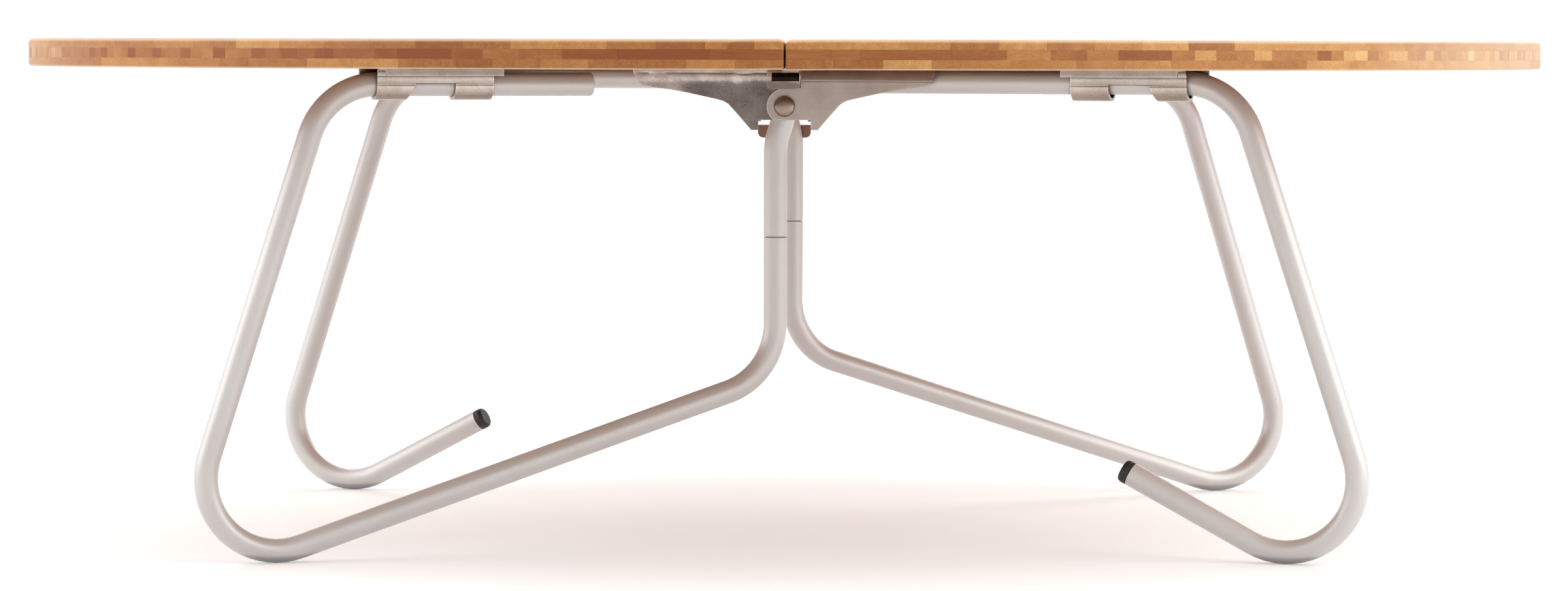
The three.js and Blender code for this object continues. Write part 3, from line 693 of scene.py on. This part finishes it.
def bamboo_tone(f, axes, strips, fibre, streak):
    """0 where the bamboo is darkest and 1 where it is lightest."""
    # A strip of the middle ply is itself made of thin slats of slightly different tone.
    slat = f.floor(f.times(strips.lane_place, SLATS_IN_STRIP))
    slat_tone = f.times(strips.middle, f.minus(f.random(f.joined(slat, strips.seed, 9.1)), 0.66))

    # Knuckles of the cane: a soft darker band across the strip now and then.
    knuckle_place = f.plus(f.over(strips.along, KNUCKLE_SPACING * MM), f.times(strips.tone, 5.1))
    band = [(0.47, grey(0)), (0.5, grey(1)), (0.53, grey(0))]
    knuckle = f.times(f.ramp(f.math("FRACT", knuckle_place), band, "EASE"), f.plus(0.3, streak))

    drift = f.noise(f.position, 3.1)
    tone = f.plus(f.times(strips.tone, 0.40), f.times(streak, 0.34))
    tone = f.plus(tone, f.times(f.minus(fibre, 0.5), 0.42))
    tone = f.plus(tone, f.times(f.minus(drift, 0.42), 0.35))
    tone = f.plus(tone, f.times(slat_tone, 0.5))
    # Painted side light: lighter far from the seam. The right board's middle ply is lighter than the left
    # one's.
    tone = f.plus(tone, f.fitted(f.size(axes["X"]), 160 * MM, 400 * MM, 0.0, 0.17))
    tone = f.plus(tone, f.times(strips.middle, by_half(f, axes, -0.04, 0.1)))
    return f.math("SUBTRACT", tone, f.times(knuckle, 0.10), clamp=True)


def painted_rim_light(f, axes):
    """How much painted light the rim gets: painted side light far out to the sides, and a painted highlight
    on its rounded edges.
    """
    slope = f.size(f.parts(f.normal)["Z"])
    outwards = f.plus(f.size(axes["X"]), f.times(axes["X"], 0.12))
    side_light = f.times(f.fitted(outwards, 300 * MM, 430 * MM, 0.0, 0.38), f.fitted(slope, 0.55, 0.9, 1.0, 0.0))
    edge = f.times(f.fitted(slope, 0.25, 0.8, 0.0, 0.55), f.fitted(slope, 0.97, 0.999, 1.0, 0.0))
    level = f.joined(axes["X"], axes["Y"])
    radius = f.add("ShaderNodeVectorMath", {0: level}, operation="LENGTH").outputs["Value"]
    edge_highlight = f.times(edge, f.math("GREATER_THAN", radius, 420 * MM))
    return f.larger(side_light, edge_highlight)


def glue_lines(f, strips):
    """1 on the glue between strips and plies, 0 elsewhere."""
    def near_end(place, limit):
        return f.math("GREATER_THAN", f.size(f.minus(f.math("FRACT", place), 0.5)), limit)

    beside = f.larger(near_end(strips.lane_place, 0.495), near_end(strips.ply_place, 0.488))
    return f.larger(beside, near_end(strips.length_place, 0.4997))


def bamboo():
    """Three plies of glued strips under a satin lacquer. The left board's middle ply is the redder one."""
    f = Finish("bamboo")
    axes = f.parts(f.position)
    strips = strip_layout(f, axes)
    fibre, streak = bamboo_fibres(f, strips, axes["Z"])
    colour = f.ramp(bamboo_tone(f, axes, strips, fibre, streak), [
        (0.0, srgb(130, 72, 34)), (0.25, srgb(154, 94, 48)), (0.5, srgb(182, 124, 68)),
        (0.75, srgb(208, 156, 94)), (1.0, srgb(228, 186, 124)),
    ])
    redness = f.times(strips.middle, by_half(f, axes, 0.34, 0.1))
    colour = f.blend_colours(redness, colour, srgb(150, 78, 38))
    # Painted side light on the rim's ends and a painted highlight on its rounded edges.
    colour = f.blend_colours(painted_rim_light(f, axes), colour, srgb(243, 219, 190))
    glue = glue_lines(f, strips)
    height = f.minus(f.times(fibre, 0.5), glue)
    f.shade(Base_Color=f.tinted(colour, f.minus(1.0, f.times(glue, 0.16))))
    f.shade(Roughness=f.plus(0.44, f.times(fibre, 0.2)), Normal=f.bump(height, 0.3, 0.12 * MM))
    f.shade(Coat_Weight=0.12, Coat_Roughness=0.3, Specular_IOR_Level=0.25)
    return f.material


# ---- paint, metal and plastic ---------------------------------------------------------
def sand_paint():
    """Champagne sand powder coat: satin, slightly metallic, finely pebbled, with painted shade where other
    parts come close, as in the clips' corners.
    """
    f = Finish("sand_paint")
    cloud = f.noise(f.position, 9.0, 3.0)
    colour = f.ramp(cloud, [(0.3, srgb(210, 205, 202)), (0.7, srgb(219, 215, 213))])
    peel = f.noise(f.position, 900.0)
    flake = f.noise(f.position, 5200.0, 1.0)
    # Painted shade where other surface comes within 6 mm, as where the tubes run in the clips.
    corner_painted_shade = f.fitted(f.openness(6.0), 0.45, 0.92, 0.6, 1.0)
    f.shade(Base_Color=f.tinted(colour, corner_painted_shade), Roughness=f.plus(0.33, f.times(cloud, 0.1)))
    f.shade(Normal=f.bump(f.plus(peel, f.times(flake, 0.3)), 0.12, 0.08 * MM))
    f.shade(Metallic=0.3)
    return f.material


def painted_plate_shading(f, cloud, plate_painted_shade):
    """Painted shade on the bracket's upright plate below the flange's fold, all but its tip."""
    axes = f.parts(f.position)
    waver = f.times(f.minus(cloud, 0.5), 6 * MM)
    height, outwards = f.plus(axes["Z"], waver), f.plus(f.size(axes["X"]), waver)
    below_fold = f.fitted(height, PLATE_FOLD_Z[0] * MM, PLATE_FOLD_Z[1] * MM, plate_painted_shade, 1.0)
    tip = f.fitted(outwards, PLATE_TIP_X[0] * MM, PLATE_TIP_X[1] * MM, plate_painted_shade, 1.0)
    return f.larger(below_fold, tip)


def lip_shading(f):
    """A painted highlight on the clip's lip edge, a painted shadow on the wall just below it, and loops
    darker downwards.
    """
    below = f.times(f.minus(CLIP_LIP_Z * MM, f.parts(f.position)["Z"]), 1 / MM)
    shadow_under_lip = f.larger(f.math("LESS_THAN", below, 0.0), f.fitted(below, 0.3, 1.8, 0.4, 1.0))
    lip_highlight = f.fitted(below, -1.4, -0.5, 0.88, 1.06)
    loops = f.fitted(below, 6.5, 13.5, 1.0, 0.74)
    return f.times(shadow_under_lip, f.times(lip_highlight, loops))


def plated_steel(name, light, dark, roughness, streaks=0.08, metallic=1.0, fold_reach=2.5, fold_shade=0.4,
                 local_folds=True, plate_painted_shade=1.0, lip=False):
    """Satin plated sheet: cloudy wear, rolling streaks, speckle, painted shade in folds and rubbed edges."""
    f = Finish(name)
    cloud = f.noise(f.position, 62.0, 5.0, 0.62)
    rolled = f.noise(f.vectors("MULTIPLY", f.position, (35, 35, 1100)), 1.0)
    speckle = f.noise(f.position, 1500.0, 3.0)
    wear = f.plus(f.times(cloud, 0.7 - streaks), f.times(rolled, streaks))
    wear = f.plus(wear, f.times(speckle, 0.3))
    # Painted shade: darker in folds and corners that other surface comes near.
    shade = f.fitted(f.openness(fold_reach, only_local=local_folds), 0.3, 0.9, fold_shade, 1.0)
    # Painted shade on the upright plate below the fold.
    if plate_painted_shade < 1:
        shade = f.times(shade, painted_plate_shading(f, cloud, plate_painted_shade))
    # Painted shadow under the clip's lip and painted highlight on its edge.
    if lip:
        shade = f.times(shade, lip_shading(f))
    rubbed = f.fitted(f.openness(1.1, only_local=True, inside=True), 0.55, 0.95, 1.3, 1.0)
    colour = f.ramp(wear, [(0.36, dark), (0.62, light)])
    smooth, rough = roughness
    f.shade(Base_Color=f.tinted(colour, f.times(shade, rubbed)))
    f.shade(Roughness=f.plus(smooth, f.times(wear, rough - smooth)), Metallic=metallic)
    f.shade(Normal=f.bump(f.plus(speckle, f.times(rolled, 6 * streaks)), 0.15, 0.06 * MM))
    return f.material


def moulded(name, colour, roughness):
    """Moulded plastic with a fine spark-eroded grain."""
    f = Finish(name)
    grain = f.noise(f.position, 1700.0, 3.0)
    cloud = f.noise(f.position, 60.0)
    darker = tuple(0.75 * c for c in colour[:3]) + (1,)
    f.shade(Base_Color=f.ramp(cloud, [(0.3, darker), (0.7, colour)]))
    f.shade(Roughness=f.plus(roughness, f.times(grain, 0.15)), Normal=f.bump(grain, 0.25, 0.08 * MM))
    return f.material


# ---- the object -----------------------------------------------------------------------
# A shaded copy of the bracket steel: painted shade on the upright plate below the fold.
SHADED_PLATE_STEEL = plated_steel("bracket_steel_painted_shade", srgb(206, 194, 186), srgb(146, 132, 124), (0.26, 0.46),
                          plate_painted_shade=0.4)
# More painted shade in the clip's folds, and painted shadow and highlight at its lip.
CLIP_STEEL = plated_steel("clip_steel", srgb(196, 184, 176), srgb(162, 148, 138), (0.16, 0.34),
                          streaks=0.14, fold_reach=6.0, lip=True)
# The keeper tongue, with painted shade on its lower part.
POLISHED = plated_steel("keeper_polished", srgb(212, 198, 188), srgb(188, 174, 164), (0.3, 0.42),
                        metallic=0.35, plate_painted_shade=0.42)
# Painted reflection: the dark band across the keeper tongue.
PAINTED_REFLECTION = plated_steel("keeper_painted_reflection", srgb(44, 36, 31), srgb(28, 22, 19), (0.08, 0.16))
FINISH_OF = {
    "bamboo": bamboo(),
    "sand_paint": sand_paint(),
    "bracket_steel": plated_steel("bracket_steel", srgb(184, 172, 164), srgb(167, 154, 145), (0.22, 0.42),
                                  metallic=0.6),
    "screw_steel": plated_steel("screw_steel", srgb(166, 154, 145), srgb(130, 118, 109), (0.25, 0.4)),
    # Painted shade round the pin's head where it meets the plate.
    "nickel": plated_steel("nickel", srgb(160, 146, 134), srgb(132, 116, 104), (0.24, 0.36),
                           fold_shade=0.56, local_folds=False),
    "black_plastic": moulded("black_plastic", srgb(30, 29, 29), 0.42),
    "brown_plastic": moulded("brown_plastic", srgb(152, 116, 92), 0.5),
}

stands_for(half_top("left_top_fine", -1), "left_top")
stands_for(half_top("right_top_fine", 1), "right_top")

for near_piece, near_node, far_node in [
    (loop_leg(), "near_left_leg", "far_right_leg"),
    (hook_leg(), "near_right_leg", "far_left_leg"),
    (post(), "near_post", "far_post"),
    (pivot_pin(), "near_pivot_pin", "far_pivot_pin"),
]:
    far_piece = half_turned(near_piece, far_node + "_fine")
    stands_for(near_piece, near_node)
    stands_for(far_piece, far_node)
stands_for(centre_tube(), "centre_tube")

for node, slot in SLOT_OF.items():
    if node in ("near_left_bracket", "far_right_bracket"):
        keeper_bracket(node)
    elif node in ("near_right_bracket", "far_left_bracket"):
        creased_bracket(node)
    elif node.endswith("_clip"):
        leg_clip(node)
    elif "bracket_screw" in node:
        stands_for(bracket_screw(node), node)
    elif slot in EDGE_OF:
        stands_for(refined(node, EDGE_OF[slot]), node)


# ---- floor, light and camera ----------------------------------------------------------
def floor(radius):
    """A pale floor that keeps the object's shadow and shows nearly white."""
    bm = bmesh.new()
    bmesh.ops.create_circle(bm, cap_ends=True, segments=96, radius=radius)
    piece = new_object("floor", bm)
    f = Finish("floor")
    f.shade(Base_Color=f.ramp(f.noise(f.position, 1.5), [(0.3, grey(0.80)), (0.7, grey(0.82))]))
    f.shade(Roughness=0.9, Specular_IOR_Level=0.0, Emission_Color=grey(1))
    f.shade(Emission_Strength=f.blend(f.seen(), 0.0, 0.3))
    piece.data.materials.append(f.material)


def area_light(name, place, size, power):
    """A soft lamp that faces a point under the top's middle. Places and sizes are in metres."""
    data = bpy.data.lights.new(name, "AREA")
    data.shape = "RECTANGLE"
    data.size, data.size_y = size
    data.energy = power
    lamp = bpy.data.objects.new(name, data)
    lamp.location = place
    target = Vector((0, 0, 0.15))
    lamp.rotation_euler = (target - Vector(place)).to_track_quat("-Z", "Y").to_euler()
    bpy.context.scene.collection.objects.link(lamp)


def world():
    """White for the camera and for reflections. Its light on the object is softer from the viewer's side."""
    sky = bpy.data.worlds.new("studio")
    bpy.context.scene.world = sky
    sky.use_nodes = True
    nodes = Nodes(sky.node_tree)
    direction = nodes.add("ShaderNodeTexCoord").outputs["Generated"]
    lit = nodes.fitted(nodes.parts(direction)["Y"], -0.95, -0.3, 0.25, 1.0)
    background = nodes.tree.nodes["Background"]
    nodes.feed(background.inputs["Color"], grey(1))
    nodes.feed(background.inputs["Strength"], nodes.blend(nodes.seen(), lit, 1.0))


def camera(lens, distance, below_top, tilt, roll):
    """A long lens just below the top's upper face, tilted down and turned a little about its own axis."""
    data = bpy.data.cameras.new("camera")
    data.sensor_width = 36
    data.lens = lens
    viewer = bpy.data.objects.new("camera", data)
    viewer.location = (0, -distance * MM, (TABLE_HEIGHT - below_top) * MM)
    aim = Matrix.Rotation(math.pi / 2 - tilt, 3, "X") @ Matrix.Rotation(roll, 3, "Z")
    viewer.rotation_euler = aim.to_euler()
    bpy.context.scene.collection.objects.link(viewer)
    bpy.context.scene.camera = viewer


floor(radius=30)
area_light("left", place=(-2.6, -0.3, 1.7), size=(3.0, 3.2), power=46)
area_light("right", place=(2.5, -1.1, 1.7), size=(3.2, 3.2), power=60)
area_light("back", place=(0.5, 2.6, 1.6), size=(2.4, 1.0), power=30)
world()
camera(lens=114.3, distance=2834.75, below_top=3.9, tilt=math.radians(2.856), roll=0.0024)
bpy.context.scene.view_settings.view_transform = "Standard"
